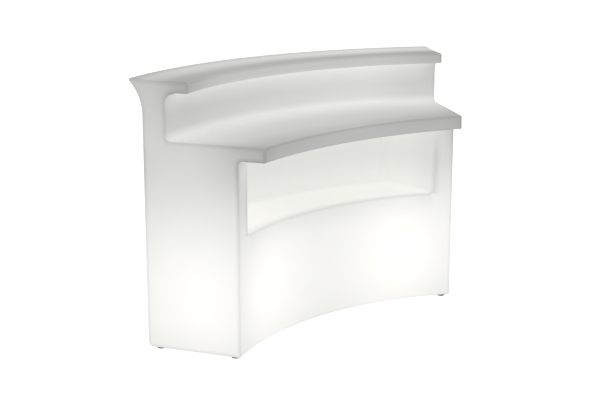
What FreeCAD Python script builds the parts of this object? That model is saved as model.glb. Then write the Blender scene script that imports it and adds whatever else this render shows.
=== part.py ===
import FreeCAD, Part
import math
import os
from FreeCAD import Vector

# An illuminated bar counter: one hollow white moulding, a slice of a ring in plan, lit from inside.
# Millimetres and degrees. +Z is up, the staff side faces -Y and the customer side faces +Y.
# Shapes are worked out about the ring's centre, in heights above the floor, and moved to the
# part's frame at the end. Angles in plan are measured from +Y towards +X.

# Plan of the counter: half its angle, the customer side's radius, and depths in from there
half_angle = 30.0
outer_wall_radius = 1618.0
base_depth = 403.0
back_depth = 98.0
bar_overhang = 100.0
worktop_overhang_middle = 164.0
worktop_overhang_end = 110.4

# Heights, from the floor up
underside_height = 10.0
base_height = 482.0
pocket_height = 314.0
worktop_thickness = 59.0
niche_height = 191.0
bar_thickness = 44.0

# Flared lip on the customer side
lip_reach = 54.0
lip_rise = 6.0
lip_nose = 9.0
lip_nose_radius = 4.3
flare_angle = 42.0
flare_radius = 190.0
lip_slope_length = 97.0
lip_slope_radius = 300.0

# Wall and edge roundings of the moulding
wall = 6.0
bar_edge_rounding = 6.0
bar_lower_rounding = 5.0
worktop_rounding = 6.0
worktop_lower_rounding = 5.0
end_rounding = 4.0
niche_top_fillet = 48.0
niche_floor_fillet = 25.0
overhang_fillet = 18.0
base_outer_rounding = 22.0
base_inner_rounding = 6.0

# Storage pocket under the worktop
pocket_end_margin = 72.5
pocket_corner_fillet = 70.0
pocket_floor_fillet = 20.0

# Levelling feet
foot_inset = 32.0
middle_foot_angle = 10.0
foot_travel = 15.0
least_engagement = 13.0
pad_radius = 18.0
pad_height = 7.0
pad_lower_rounding = 3.0
pad_upper_rounding = 1.0
pad_floor = 2.0
stem_radius = 5.0
stem_head_rim = 4.0
stem_head_height = 2.6
stem_hex_flats = 22.0
thread_pitch = 1.5
thread_depth_share = 0.61
foot_insert_wall = 3.0
foot_insert_length = 30.0
foot_boss_wall = 7.0
running_clearance = 0.1
thrust_clearance = 0.05
socket_clearance = 0.4
seat_clearance = 0.05

# Lamp hatches in the underside
lamp_end_angle = 10.0
lamp_setback = 185.0
well_radius = 115.0
well_depth = 40.0
hatch_hole_radius = 88.0
cover_gap = 2.0
gasket_thickness = 2.0
cover_thickness = 4.0
hatch_screw_count = 4
hatch_screw_radius = 2.5
hatch_screw_length = 16.0
hatch_head_radius = 4.75
hatch_head_height = 3.0
hatch_insert_wall = 1.5
hatch_insert_length = 12.0
hatch_boss_wall = 5.0
screw_hole_clearance = 0.3
socket_depth_share = 0.55
socket_flats_share = 0.5

# Steel riser bracket that carries the lampholder
strap_width = 26.0
strap_thickness = 2.0
strap_bend_radius = 3.0
strap_foot_length = 50.0
strap_offset = 34.0
riser_height = 125.0
bracket_screw_radius = 2.0
bracket_screw_length = 12.0
bracket_head_radius = 4.0
bracket_head_height = 2.6
bracket_nut_flats = 7.0
bracket_nut_height = 3.2
bracket_screw_spacing = 24.0

# Lampholder
nipple_wall = 1.4
nipple_gap = 0.35
nipple_tail = 9.0
nipple_nut_flats = 14.0
nipple_nut_height = 4.0
holder_radius = 19.5
holder_neck_radius = 15.0
holder_neck_height = 14.0
holder_height = 55.0
holder_wall = 3.0
holder_floor = 5.0
holder_core_height = 12.0
contact_wall = 0.8
contact_height = 26.0
contact_clearance = 0.2

# Bulb
cap_clearance = 0.4
cap_height = 25.0
cap_tip_rim = 2.4
cap_tip_height = 2.0
collar_height = 28.0
collar_top_radius = 24.0
collar_rim = 3.0
collar_gap = 1.5
globe_radius = 47.5
globe_wall = 1.5

# Mains cable gland on the left hatch cover
gland_offset = 56.0
gland_bore_radius = 5.0
gland_seal_inset = 1.0
gland_thread_wall = 3.0
gland_barrel_wall = 4.5
gland_dome_wall = 2.5
gland_flats = 22.0
gland_flange_height = 5.0
gland_barrel_height = 6.0
gland_thread_length = 11.0
gland_dome_height = 13.0
gland_dome_floor = 2.0
gland_nut_height = 5.0

# Terminal box on the left hatch cover
box_offset = 62.0
box_length = 40.0
box_width = 50.0
box_height = 26.0
box_wall = 2.0
box_lid_thickness = 2.5
box_screw_radius = 1.5
box_screw_head_rim = 1.4
box_screw_head_height = 2.0
box_screw_length = 12.0
box_post_wall = 2.0
box_low_post_height = 9.0
block_length = 12.0
block_width = 34.0
block_height = 12.0
block_screw_count = 3
block_screw_radius = 2.2
block_screw_depth = 3.0

# Internal cables
cable_radius = 3.25
lead_radius = 2.5
cable_clearance = 0.5
cable_shoulder = 26.0
cable_drop_run = 55.0
cable_floor_points = 9
bend_share = 0.45
clip_offset = 76.0
clip_length = 12.0
clip_wall = 2.7
clip_ear = 9.0
clip_ear_height = 3.0
clip_screw_radius = 1.5
clip_screw_length = 6.0
clip_head_rim = 1.3
clip_head_height = 2.0

# Cutting tools run this far past what they cut
overrun = 5.0
# Points closer than this count as one
same_point = 0.001

ring_centre = Vector(0, 0, 0)
up = Vector(0, 0, 1)


def sin(angle):
    return math.sin(math.radians(angle))


def cos(angle):
    return math.cos(math.radians(angle))


def tan(angle):
    return math.tan(math.radians(angle))


def arc_radius(half_chord, rise):
    """The radius of the arc with this half chord that rises this far in its middle."""
    return (half_chord**2 + rise**2) / (2 * rise)


base_inner_radius = outer_wall_radius - base_depth
back_wall_radius = outer_wall_radius - back_depth
bar_edge_radius = back_wall_radius - bar_overhang
lip_radius = outer_wall_radius + lip_reach
lamp_radius = base_inner_radius + lamp_setback
lamp_angle = half_angle - lamp_end_angle

worktop_edge_middle = base_inner_radius - worktop_overhang_middle
worktop_edge_end = base_inner_radius - worktop_overhang_end
worktop_edge_rise = worktop_edge_middle - worktop_edge_end * cos(half_angle)
worktop_edge_radius = arc_radius(worktop_edge_end * sin(half_angle), worktop_edge_rise)
worktop_centre_y = worktop_edge_middle - worktop_edge_radius

pocket_floor_height = underside_height + base_height
worktop_underside = pocket_floor_height + pocket_height
worktop_height = worktop_underside + worktop_thickness
bar_underside = worktop_height + niche_height
bar_height = bar_underside + bar_thickness
lip_height = bar_height + lip_rise
pocket_half_width = base_inner_radius * sin(half_angle) - pocket_end_margin

stem_head_radius = stem_radius + stem_head_rim
foot_insert_radius = stem_radius + foot_insert_wall

seat_height = underside_height + well_depth
ceiling_top = seat_height + wall
cover_top = seat_height - gasket_thickness
cover_bottom = cover_top - cover_thickness
cover_radius = well_radius - cover_gap
screw_circle_radius = (hatch_hole_radius + cover_radius) / 2
hatch_insert_radius = hatch_screw_radius + hatch_insert_wall
hatch_boss_radius = hatch_insert_radius + hatch_boss_wall

shelf_bottom = cover_top + riser_height
shelf_top = shelf_bottom + strap_thickness
nipple_bore_radius = cable_radius + nipple_gap
nipple_radius = nipple_bore_radius + nipple_wall
holder_floor_height = shelf_top + holder_neck_height + holder_floor
core_radius = holder_radius - holder_wall - contact_clearance
core_top = holder_floor_height + holder_core_height
cap_radius = core_radius - contact_wall - cap_clearance
cap_tip_radius = nipple_bore_radius + cap_tip_rim
cap_bottom = core_top + cap_tip_height
collar_bottom = cap_bottom + cap_height
collar_top = collar_bottom + collar_height

gland_seal_bore_radius = gland_bore_radius - gland_seal_inset
gland_thread_radius = gland_bore_radius + gland_thread_wall
gland_barrel_radius = gland_bore_radius + gland_barrel_wall
gland_dome_radius = gland_barrel_radius + gland_dome_wall
gland_flange_bottom = cover_bottom - gland_flange_height
gland_barrel_bottom = gland_flange_bottom - gland_barrel_height
gland_dome_top = gland_flange_bottom - running_clearance
gland_dome_bottom = gland_dome_top - gland_dome_height

box_top = cover_top + box_height
box_floor_top = cover_top + box_wall
box_post_radius = box_screw_radius + box_post_wall
box_head_radius = box_screw_radius + box_screw_head_rim
cable_drop_start = well_radius + wall + cable_shoulder
cable_drop_end = cable_drop_start + cable_drop_run
cable_level = ceiling_top + cable_radius + cable_clearance
cable_floor_level = underside_height + wall + cable_radius + cable_clearance
clip_width = 2 * (cable_radius + clip_wall)
clip_head_radius = clip_screw_radius + clip_head_rim


def polar(radius, angle, height):
    """A point about the ring's centre."""
    return Vector(radius * sin(angle), radius * cos(angle), height)


def at(shape, radius, angle):
    """The shape moved from the ring's centre out to a radius and round to an angle."""
    moved = shape.copy()
    moved.translate(Vector(0, radius, 0))
    moved.rotate(ring_centre, up, -angle)
    return moved


def raised(shape, height):
    moved = shape.copy()
    moved.translate(Vector(0, 0, height))
    return moved


def shifted(shape, x, y):
    moved = shape.copy()
    moved.translate(Vector(x, y, 0))
    return moved


def disc(radius, low, high):
    return Part.makeCylinder(radius, high - low, Vector(0, 0, low))


def tube(outer, inner, low, high):
    return disc(outer, low, high).cut(disc(inner, low - overrun, high + overrun))


def block(length, width, low, high):
    """A box centred in plan, from one height to another."""
    corner = Vector(-length / 2, -width / 2, low)
    return Part.makeBox(length, width, high - low, corner)


def hexagon(flats, low, high):
    """A hexagonal prism with this width across flats."""
    reach = flats / 2 / cos(30)
    corners = [Vector(reach * cos(60 * k), reach * sin(60 * k), low) for k in range(7)]
    return Part.Face(Part.makePolygon(corners)).extrude(Vector(0, 0, high - low))


def cross(a, b):
    return a[0] * b[1] - a[1] * b[0]


def inset_corners(corners, distance):
    """The corners of a closed outline, given anticlockwise, moved in by a distance.

    Roundings that bulge out get smaller and roundings that hollow in get larger.
    """
    count = len(corners)
    lines = []
    for k in range(count):
        start, end = corners[k], corners[(k + 1) % count]
        run = (end[0] - start[0], end[1] - start[1])
        length = math.hypot(run[0], run[1])
        run = (run[0] / length, run[1] / length)
        foot = (start[0] - run[1] * distance, start[1] + run[0] * distance)
        lines.append((foot, run))
    moved = []
    for k in range(count):
        (foot_a, run_a), (foot_b, run_b) = lines[k - 1], lines[k]
        turn = cross(run_a, run_b)
        gap = (foot_b[0] - foot_a[0], foot_b[1] - foot_a[1])
        along = cross(gap, run_b) / turn
        point = (foot_a[0] + run_a[0] * along, foot_a[1] + run_a[1] * along)
        radius = corners[k][2]
        radius = max(radius - distance, 0) if turn > 0 else radius + distance
        moved.append((point[0], point[1], radius))
    return moved


def rounded_face(corners):
    """A face in the plane of radius and height, from corners of (radius, height, rounding)."""
    count = len(corners)
    starts, ends, middles = [], [], []
    for k in range(count):
        before, here, after = corners[k - 1], corners[k], corners[(k + 1) % count]
        point = Vector(0, here[0], here[1])
        back = (Vector(0, before[0], before[1]) - point).normalize()
        ahead = (Vector(0, after[0], after[1]) - point).normalize()
        half_corner = back.getAngle(ahead) / 2
        reach = here[2] / math.tan(half_corner)
        towards_centre = (back + ahead).normalize()
        to_arc = here[2] / math.sin(half_corner) - here[2]
        starts.append(point + back * reach)
        ends.append(point + ahead * reach)
        middles.append(point + towards_centre * to_arc)
    edges = []
    for k in range(count):
        if corners[k][2] > 0:
            edges.append(Part.Arc(starts[k], middles[k], ends[k]).toShape())
        onward = starts[(k + 1) % count]
        if onward.distanceToPoint(ends[k]) > same_point:
            edges.append(Part.LineSegment(ends[k], onward).toShape())
    return Part.Face(Part.Wire(edges))


def ring_slice(corners):
    """The outline swept round the ring from one end of the counter to the other."""
    face = rounded_face(corners)
    face.rotate(ring_centre, up, -half_angle)
    return face.revolve(ring_centre, up, 2 * half_angle)


def turned(corners):
    """The outline swept all the way round its own axis."""
    return rounded_face(corners).revolve(ring_centre, up, 360)


def counter_corners(nosed):
    """The counter's section, anticlockwise from the foot of the staff side.

    The lip ends in a blunt nose, or for the hollow inside in one point.
    """
    nose_bottom = lip_height - lip_nose
    flare_height = nose_bottom - lip_reach / tan(flare_angle)
    worktop_reach = worktop_edge_middle - 2 * overrun
    slope = lip_rise / lip_slope_length
    crown_radius = lip_radius - lip_slope_length
    if nosed:
        lip = [
            (lip_radius, nose_bottom, lip_nose_radius),
            (lip_radius, lip_height, lip_nose_radius),
        ]
    else:
        flare_slope = 1 / tan(flare_angle)
        past = lip_nose / (flare_slope - slope)
        lip = [(lip_radius + past, lip_height + past * slope, 0)]
    return [
        (base_inner_radius, underside_height, base_inner_rounding),
        (outer_wall_radius, underside_height, base_outer_rounding),
        (outer_wall_radius, flare_height, flare_radius),
        *lip,
        (crown_radius, bar_height, lip_slope_radius),
        (bar_edge_radius, bar_height, bar_edge_rounding),
        (bar_edge_radius, bar_underside, bar_lower_rounding),
        (back_wall_radius, bar_underside, niche_top_fillet),
        (back_wall_radius, worktop_height, niche_floor_fillet),
        (worktop_reach, worktop_height, 0),
        (worktop_reach, worktop_underside, 0),
        (base_inner_radius, worktop_underside, overhang_fillet),
    ]


def worktop_cutter(grown):
    """The cylinder whose wall is the flatter front edge of the worktop."""
    cutter = disc(worktop_edge_radius + grown, worktop_underside - overrun, worktop_height + overrun)
    return shifted(cutter, 0, worktop_centre_y)


def pocket(grown):
    """The storage pocket's hollow, or with a wall grown round it."""
    half_width = pocket_half_width + grown
    floor = pocket_floor_height - grown
    ceiling = worktop_underside + grown
    start = base_inner_radius * cos(half_angle) - overrun
    depth = outer_wall_radius - start
    rough = shifted(block(2 * half_width, depth, floor, ceiling), 0, start + depth / 2)
    rough = rough.common(disc(back_wall_radius + grown, floor - overrun, ceiling + overrun))

    def is_back_corner(edge):
        ends = [v.Point for v in edge.Vertexes]
        upright = abs(ends[0].z - ends[-1].z) > overrun
        return upright and min(p.y for p in ends) > start + overrun

    corners = [edge for edge in rough.Edges if is_back_corner(edge)]
    rough = rough.makeFillet(pocket_corner_fillet + grown, corners)

    def is_floor_edge(edge):
        ends = [v.Point for v in edge.Vertexes]
        level = all(abs(p.z - floor) < same_point for p in ends)
        return level and max(p.y for p in ends) > start + overrun

    floor_edges = [edge for edge in rough.Edges if is_floor_edge(edge)]
    return rough.makeFillet(pocket_floor_fillet + grown, floor_edges)


def worktop_edges(shape, height):
    """The long edge of the worktop's front face at this height."""
    found = []
    for edge in shape.Edges:
        ends = [v.Point for v in edge.Vertexes]
        middle = edge.valueAt((edge.FirstParameter + edge.LastParameter) / 2)
        level = all(abs(p.z - height) < same_point for p in [*ends, middle])
        out = math.hypot(middle.x, middle.y - worktop_centre_y)
        if level and abs(out - worktop_edge_radius) < same_point:
            found.append(edge)
    return found


def end_edges(shape):
    """The edges round the two flat end faces."""
    found = []
    for face in shape.Faces:
        if not isinstance(face.Surface, Part.Plane):
            continue
        normal = face.normalAt(0, 0)
        across = abs(abs(normal.x) - cos(half_angle)) < same_point
        if across and abs(normal.z) < same_point:
            found.extend(face.Edges)
    return found


def counter_body():
    """The outside of the moulding, still solid."""
    body = ring_slice(counter_corners(True)).cut(worktop_cutter(0))
    body = body.makeFillet(worktop_rounding, worktop_edges(body, worktop_height))
    body = body.makeFillet(worktop_lower_rounding, worktop_edges(body, worktop_underside))
    body = body.makeFillet(end_rounding, end_edges(body))
    return body.cut(pocket(0))


def counter_hollow():
    """The space inside the moulding, a wall's thickness in from the outside."""
    hollow = ring_slice(inset_corners(counter_corners(False), wall))
    tip_y = wall / sin(half_angle)
    far = 2 * outer_wall_radius
    corners = [
        Vector(0, tip_y, 0),
        Vector(far * sin(half_angle), tip_y + far * cos(half_angle), 0),
        Vector(-far * sin(half_angle), tip_y + far * cos(half_angle), 0),
        Vector(0, tip_y, 0),
    ]
    wedge = Part.Face(Part.makePolygon(corners)).extrude(Vector(0, 0, lip_height))
    hollow = hollow.common(wedge)
    hollow = hollow.cut(worktop_cutter(wall))
    return hollow.cut(pocket(wall))


def foot_places():
    """Where the feet stand, as name: (radius, angle)."""
    inner = base_inner_radius + foot_inset
    outer = outer_wall_radius - foot_inset - base_outer_rounding / 2
    inner_angle = half_angle - math.degrees(math.asin(foot_inset / inner))
    outer_angle = half_angle - math.degrees(math.asin(foot_inset / outer))
    return {
        "inner_left": (inner, -inner_angle),
        "inner_right": (inner, inner_angle),
        "outer_left": (outer, -outer_angle),
        "outer_right": (outer, outer_angle),
        "middle_left": (outer, -middle_foot_angle),
        "middle_right": (outer, middle_foot_angle),
    }


def round_hatch(shape):
    """The shape repeated at the hatch screws, about the hatch's own centre."""
    step = 360 / hatch_screw_count
    copies = []
    for k in range(hatch_screw_count):
        copy = shifted(shape, 0, screw_circle_radius)
        copy.rotate(ring_centre, up, step * (k + 1 / 2))
        copies.append(copy)
    return copies


def hatch_solid():
    """What the hollow leaves standing round a hatch well."""
    well = disc(well_radius + wall, underside_height - overrun, ceiling_top)
    boss_top = seat_height + hatch_insert_length + wall / 2
    return well.fuse(round_hatch(disc(hatch_boss_radius, underside_height, boss_top)))


def hatch_cutout():
    """What is cut from the underside for a hatch well, its hole and its inserts."""
    cutout = disc(well_radius, underside_height - overrun, seat_height)
    cutout = cutout.fuse(disc(hatch_hole_radius, underside_height, ceiling_top + overrun))
    insert_top = seat_height + hatch_insert_length + seat_clearance
    insert_hole = disc(hatch_insert_radius + seat_clearance, underside_height, insert_top)
    return cutout.fuse(round_hatch(insert_hole))


def counter_shell():
    """The moulding: hollow, with solid bosses round its inserts and a well for each hatch."""
    hollow = counter_hollow()
    boss_radius = foot_insert_radius + foot_boss_wall
    boss_top = underside_height + foot_insert_length + wall
    for radius, angle in foot_places().values():
        hollow = hollow.cut(at(disc(boss_radius, 0, boss_top), radius, angle))
    for side in (-1, 1):
        hollow = hollow.cut(at(hatch_solid(), lamp_radius, side * lamp_angle))
    shell = counter_body().cut(hollow)
    hole_top = underside_height + foot_insert_length + seat_clearance
    for radius, angle in foot_places().values():
        hole = disc(foot_insert_radius + seat_clearance, 0, hole_top)
        shell = shell.cut(at(hole, radius, angle))
    for side in (-1, 1):
        shell = shell.cut(at(hatch_cutout(), lamp_radius, side * lamp_angle))
    return shell


def foot_insert():
    top = underside_height + foot_insert_length
    return tube(foot_insert_radius, stem_radius + running_clearance, underside_height, top)


def foot_stem():
    """Threaded stem with a hexagon to turn it by and a head that snaps into the pad."""
    head_bottom = pad_floor + thrust_clearance
    top = underside_height + foot_travel + least_engagement
    shaft = disc(stem_radius, head_bottom, top)
    tip = [edge for edge in shaft.Edges if edge.CenterOfMass.z > top - same_point]
    shaft = shaft.makeChamfer(thread_pitch * thread_depth_share, tip)
    head = disc(stem_head_radius, head_bottom, head_bottom + stem_head_height)
    collar_low = pad_height + running_clearance
    collar = hexagon(stem_hex_flats, collar_low, underside_height - running_clearance)
    return shaft.fuse([head, collar]).removeSplitter()


def foot_pad():
    """Round pad, hollow inside for the stem's head."""
    bore = stem_radius + running_clearance
    socket = stem_head_radius + socket_clearance
    socket_top = pad_floor + stem_head_height + socket_clearance
    corners = [
        (0, 0, 0),
        (pad_radius, 0, pad_lower_rounding),
        (pad_radius, pad_height, pad_upper_rounding),
        (bore, pad_height, 0),
        (bore, socket_top, 0),
        (socket, socket_top, 0),
        (socket, pad_floor, 0),
        (0, pad_floor, 0),
    ]
    return turned(corners)


def screw(shank, length, head, head_height):
    """A socket head screw pointing up, with the underside of its head at height zero."""
    body = disc(shank, -head_height / 2, length).fuse(disc(head, -head_height, 0))
    depth = head_height * socket_depth_share
    socket = hexagon(2 * head * socket_flats_share, -head_height - overrun, -head_height + depth)
    return body.cut(socket).removeSplitter()


def nut(flats, height, bore):
    return hexagon(flats, 0, height).cut(disc(bore, -overrun, height + overrun))


def hatch_insert():
    """Blind threaded insert, bored a little past the end of its screw."""
    bore_top = cover_bottom + hatch_screw_length + running_clearance
    top = seat_height + hatch_insert_length
    bore = disc(hatch_screw_radius + running_clearance, seat_height - overrun, bore_top)
    return disc(hatch_insert_radius, seat_height, top).cut(bore)


def hatch_gasket():
    ring = tube(cover_radius, hatch_hole_radius, cover_top, seat_height)
    hole = disc(hatch_screw_radius + screw_hole_clearance, cover_top - overrun, seat_height + overrun)
    return ring.cut(round_hatch(hole))


def bracket_screw_spots():
    """Where the bracket's foot is fixed, from the lamp's centre."""
    middle = strap_offset - strap_foot_length / 2
    return [(0, middle - bracket_screw_spacing / 2), (0, middle + bracket_screw_spacing / 2)]


def box_spots(side):
    """Two opposite corners of the terminal box, from the lamp's centre."""
    reach_x = box_length / 2 - box_wall - box_post_radius / 2
    reach_y = box_width / 2 - box_wall - box_post_radius / 2
    return [(box_offset + reach_x, side * reach_y), (box_offset - reach_x, -side * reach_y)]


def lid_screw_spots():
    return box_spots(1)


def box_screw_spots():
    return box_spots(-1)


def clip_screw_spots():
    reach = clip_width / 2 + clip_ear / 2
    return [(-clip_offset, -reach), (-clip_offset, reach)]


def clip_screw_depth():
    """How far the clip's screws go into the cover."""
    return clip_screw_length - clip_ear_height


def holes_at(spots, radius, low, high):
    return [shifted(disc(radius, low, high), x, y) for x, y in spots]


def hatch_cover(has_mains):
    cover = disc(cover_radius, cover_bottom, cover_top)
    low, high = cover_bottom - overrun, cover_top + overrun
    holes = round_hatch(disc(hatch_screw_radius + screw_hole_clearance, low, high))
    holes += holes_at(bracket_screw_spots(), bracket_screw_radius + screw_hole_clearance, low, high)
    if has_mains:
        holes += holes_at(box_screw_spots(), box_screw_radius + screw_hole_clearance, low, high)
        holes += holes_at([(-gland_offset, 0)], gland_thread_radius + screw_hole_clearance, low, high)
    else:
        end = cover_top - clip_screw_depth() - seat_clearance
        holes += holes_at(clip_screw_spots(), clip_screw_radius + seat_clearance, end, high)
    return cover.cut(holes)


def lamp_bracket():
    """A flat steel strap bent into a foot, a riser and a shelf."""
    outer_bend = strap_bend_radius + strap_thickness
    back = strap_offset
    front = strap_offset - strap_foot_length
    shelf_front = -holder_neck_radius
    corners = [
        (front, cover_top, 0),
        (back, cover_top, outer_bend),
        (back, shelf_top, outer_bend),
        (shelf_front, shelf_top, 0),
        (shelf_front, shelf_bottom, 0),
        (back - strap_thickness, shelf_bottom, strap_bend_radius),
        (back - strap_thickness, cover_top + strap_thickness, strap_bend_radius),
        (front, cover_top + strap_thickness, 0),
    ]
    strap = rounded_face(corners).extrude(Vector(strap_width, 0, 0))
    strap = shifted(strap, -strap_width / 2, 0)
    nipple_hole = disc(nipple_radius + running_clearance, shelf_bottom - overrun, shelf_top + overrun)
    hole_radius = bracket_screw_radius + screw_hole_clearance
    holes = holes_at(bracket_screw_spots(), hole_radius, cover_top - overrun, cover_top + overrun)
    return strap.cut([nipple_hole, *holes])


def holder_body():
    """Lampholder body: a neck, a shoulder and a skirt, open at the top."""
    inner = holder_radius - holder_wall
    bore = nipple_radius + running_clearance
    top = shelf_top + holder_height
    neck_top = shelf_top + holder_neck_height
    corners = [
        (bore, shelf_top, 0),
        (holder_neck_radius, shelf_top, holder_wall / 2),
        (holder_neck_radius, neck_top - holder_wall, holder_wall / 2),
        (holder_radius, neck_top, holder_wall / 2),
        (holder_radius, top, holder_wall / 3),
        (inner, top, 0),
        (inner, holder_floor_height, 0),
        (bore, holder_floor_height, 0),
    ]
    return turned(corners)


def holder_core():
    """Insulating block on the holder's floor, bored for the wires."""
    return tube(core_radius, nipple_bore_radius, holder_floor_height, core_top)


def holder_contact():
    """Brass screw shell that the bulb cap turns into."""
    return tube(core_radius, core_radius - contact_wall, core_top, core_top + contact_height)


def holder_nipple():
    """Hollow threaded tube through the shelf, which the cable passes through."""
    low = shelf_bottom - nipple_tail
    return tube(nipple_radius, nipple_bore_radius, low, holder_floor_height)


def bulb_cap():
    """Screw cap whose tip rests on the holder's core."""
    cap = disc(cap_radius, cap_bottom, collar_bottom)
    return cap.fuse(disc(cap_tip_radius, core_top, cap_bottom)).removeSplitter()


def bulb_collar():
    """Plastic body between the bulb's cap and its globe."""
    corners = [
        (0, collar_bottom, 0),
        (cap_radius, collar_bottom, 0),
        (cap_radius, collar_bottom + collar_gap, 0),
        (collar_top_radius, collar_top - collar_rim, collar_rim),
        (collar_top_radius, collar_top, 0),
        (0, collar_top, 0),
    ]
    return turned(corners)


def globe_centre_height():
    below = math.sqrt(globe_radius**2 - collar_top_radius**2)
    return collar_top + below


def bulb_globe():
    """Opal globe, open where it sits on the collar."""
    centre = Vector(0, 0, globe_centre_height())
    ball = Part.makeSphere(globe_radius, centre)
    ball = ball.cut(Part.makeSphere(globe_radius - globe_wall, centre))
    return ball.cut(disc(globe_radius, collar_top - globe_radius, collar_top))


def gland_body():
    """Gland on the underside of the cover: a barrel, a hexagon and a threaded stem."""
    stem_top = cover_bottom + gland_thread_length
    body = hexagon(gland_flats, gland_flange_bottom, cover_bottom)
    body = body.fuse(disc(gland_barrel_radius, gland_barrel_bottom, gland_flange_bottom))
    body = body.fuse(disc(gland_thread_radius, cover_bottom, stem_top))
    return body.cut(disc(gland_bore_radius, gland_barrel_bottom - overrun, stem_top + overrun))


def gland_dome_nut():
    """Domed nut that squeezes the seal, open at its end for the cable."""
    bore = gland_barrel_radius + running_clearance
    floor = gland_dome_bottom + gland_dome_floor
    corners = [
        (gland_bore_radius, gland_dome_bottom, 0),
        (gland_dome_radius, gland_dome_bottom, gland_dome_height / 3),
        (gland_dome_radius, gland_dome_top, 0),
        (bore, gland_dome_top, 0),
        (bore, floor, 0),
        (gland_bore_radius, floor, 0),
    ]
    return turned(corners)


def gland_seal():
    """Rubber ring between the dome nut's floor and the barrel."""
    low = gland_dome_bottom + gland_dome_floor
    return tube(gland_barrel_radius, gland_seal_bore_radius, low, gland_barrel_bottom)


def gland_lock_nut():
    bore = gland_thread_radius + running_clearance
    return raised(nut(gland_flats, gland_nut_height, bore), cover_top)


def terminal_box():
    """Open box with two tall posts for its lid, two low ones for its own screws, and cable holes."""
    box = shifted(block(box_length, box_width, cover_top, box_top), box_offset, 0)
    inner_length = box_length - 2 * box_wall
    inner_width = box_width - 2 * box_wall
    inside = block(inner_length, inner_width, box_floor_top, box_top + overrun)
    inside = shifted(inside, box_offset, 0)
    low_post_top = cover_top + box_low_post_height
    inside = inside.cut(holes_at(lid_screw_spots(), box_post_radius, cover_top, box_top))
    inside = inside.cut(holes_at(box_screw_spots(), box_post_radius, cover_top, low_post_top))
    thread = box_screw_radius + seat_clearance
    lid_hole_end = box_top + box_lid_thickness - box_screw_length - seat_clearance
    holes = holes_at(lid_screw_spots(), thread, lid_hole_end, box_top + overrun)
    holes += holes_at(box_screw_spots(), thread, cover_top - overrun, low_post_top + overrun)
    for side, radius in ((1, cable_radius), (-1, lead_radius)):
        start = Vector(box_offset, 0, cable_level)
        way_out = Vector(side, 0, 0)
        holes.append(Part.makeCylinder(radius + seat_clearance, box_length, start, way_out))
    return box.cut([inside, *holes])


def terminal_lid():
    lid = block(box_length, box_width, box_top, box_top + box_lid_thickness)
    upright = [e for e in lid.Edges if abs(e.Vertexes[0].Z - e.Vertexes[-1].Z) > same_point]
    lid = shifted(lid.makeFillet(box_wall, upright), box_offset, 0)
    hole_radius = box_screw_radius + screw_hole_clearance
    return lid.cut(holes_at(lid_screw_spots(), hole_radius, box_top - overrun, box_top + overrun))


def screws_at(spots, one):
    """The same screw at several places, as one group."""
    return Part.Compound([shifted(one, x, y) for x, y in spots])


def pointing_down(shape):
    turned_over = shape.copy()
    turned_over.rotate(ring_centre, Vector(1, 0, 0), 180)
    return turned_over


def box_screw():
    return screw(box_screw_radius, box_screw_length, box_head_radius, box_screw_head_height)


def lid_screws():
    """Screws down through the lid into the tall posts."""
    one = raised(pointing_down(box_screw()), box_top + box_lid_thickness)
    return screws_at(lid_screw_spots(), one)


def box_screws():
    """Screws up through the cover into the low posts of the terminal box."""
    return screws_at(box_screw_spots(), raised(box_screw(), cover_bottom))


def terminal_block():
    """Insulated block with a row of clamping screws' wells in its top."""
    top = box_floor_top + block_height
    body = shifted(block(block_length, block_width, box_floor_top, top), box_offset, 0)
    pitch = block_width / block_screw_count
    middle = (block_screw_count - 1) / 2
    spots = [(box_offset, (k - middle) * pitch) for k in range(block_screw_count)]
    return body.cut(holes_at(spots, block_screw_radius, top - block_screw_depth, top + overrun))


def bent_tube(points, radius):
    """A round tube along straight runs, with an arc at each point between them."""
    starts, ends, arcs = [], [], []
    tightest = math.inf
    for k in range(1, len(points) - 1):
        before, here, after = points[k - 1], points[k], points[k + 1]
        back, ahead = before - here, after - here
        shorter = min(back.Length, ahead.Length)
        back.normalize()
        ahead.normalize()
        half_corner = back.getAngle(ahead) / 2
        reach = bend_share * shorter
        bend = reach * math.tan(half_corner)
        tightest = min(tightest, bend)
        towards_centre = (back + ahead).normalize()
        middle = here + towards_centre * (bend / math.sin(half_corner) - bend)
        starts.append(here + back * reach)
        ends.append(here + ahead * reach)
        arcs.append(Part.Arc(starts[-1], middle, ends[-1]).toShape())
    edges = []
    last = points[0]
    for start, end, arc in zip(starts, ends, arcs):
        edges.append(Part.LineSegment(last, start).toShape())
        edges.append(arc)
        last = end
    edges.append(Part.LineSegment(last, points[-1]).toShape())
    path = Part.Wire(edges)
    heading = (points[1] - points[0]).normalize()
    section = Part.Wire(Part.makeCircle(radius, points[0], heading))
    solid = path.makePipeShell([section], True, False)
    expected = math.pi * radius**2 * path.Length
    print("tube length", round(path.Length, 1), "tightest bend", round(tightest, 1))
    print("tube volume over section times length", round(solid.Volume / expected, 4))
    return solid


def lamp_point(side, x, y, height):
    """A point given from a lamp's centre, about the ring's centre."""
    point = Vector(x, lamp_radius + y, height)
    turn = FreeCAD.Rotation(up, -side * lamp_angle)
    return turn.multVec(point)


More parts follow.
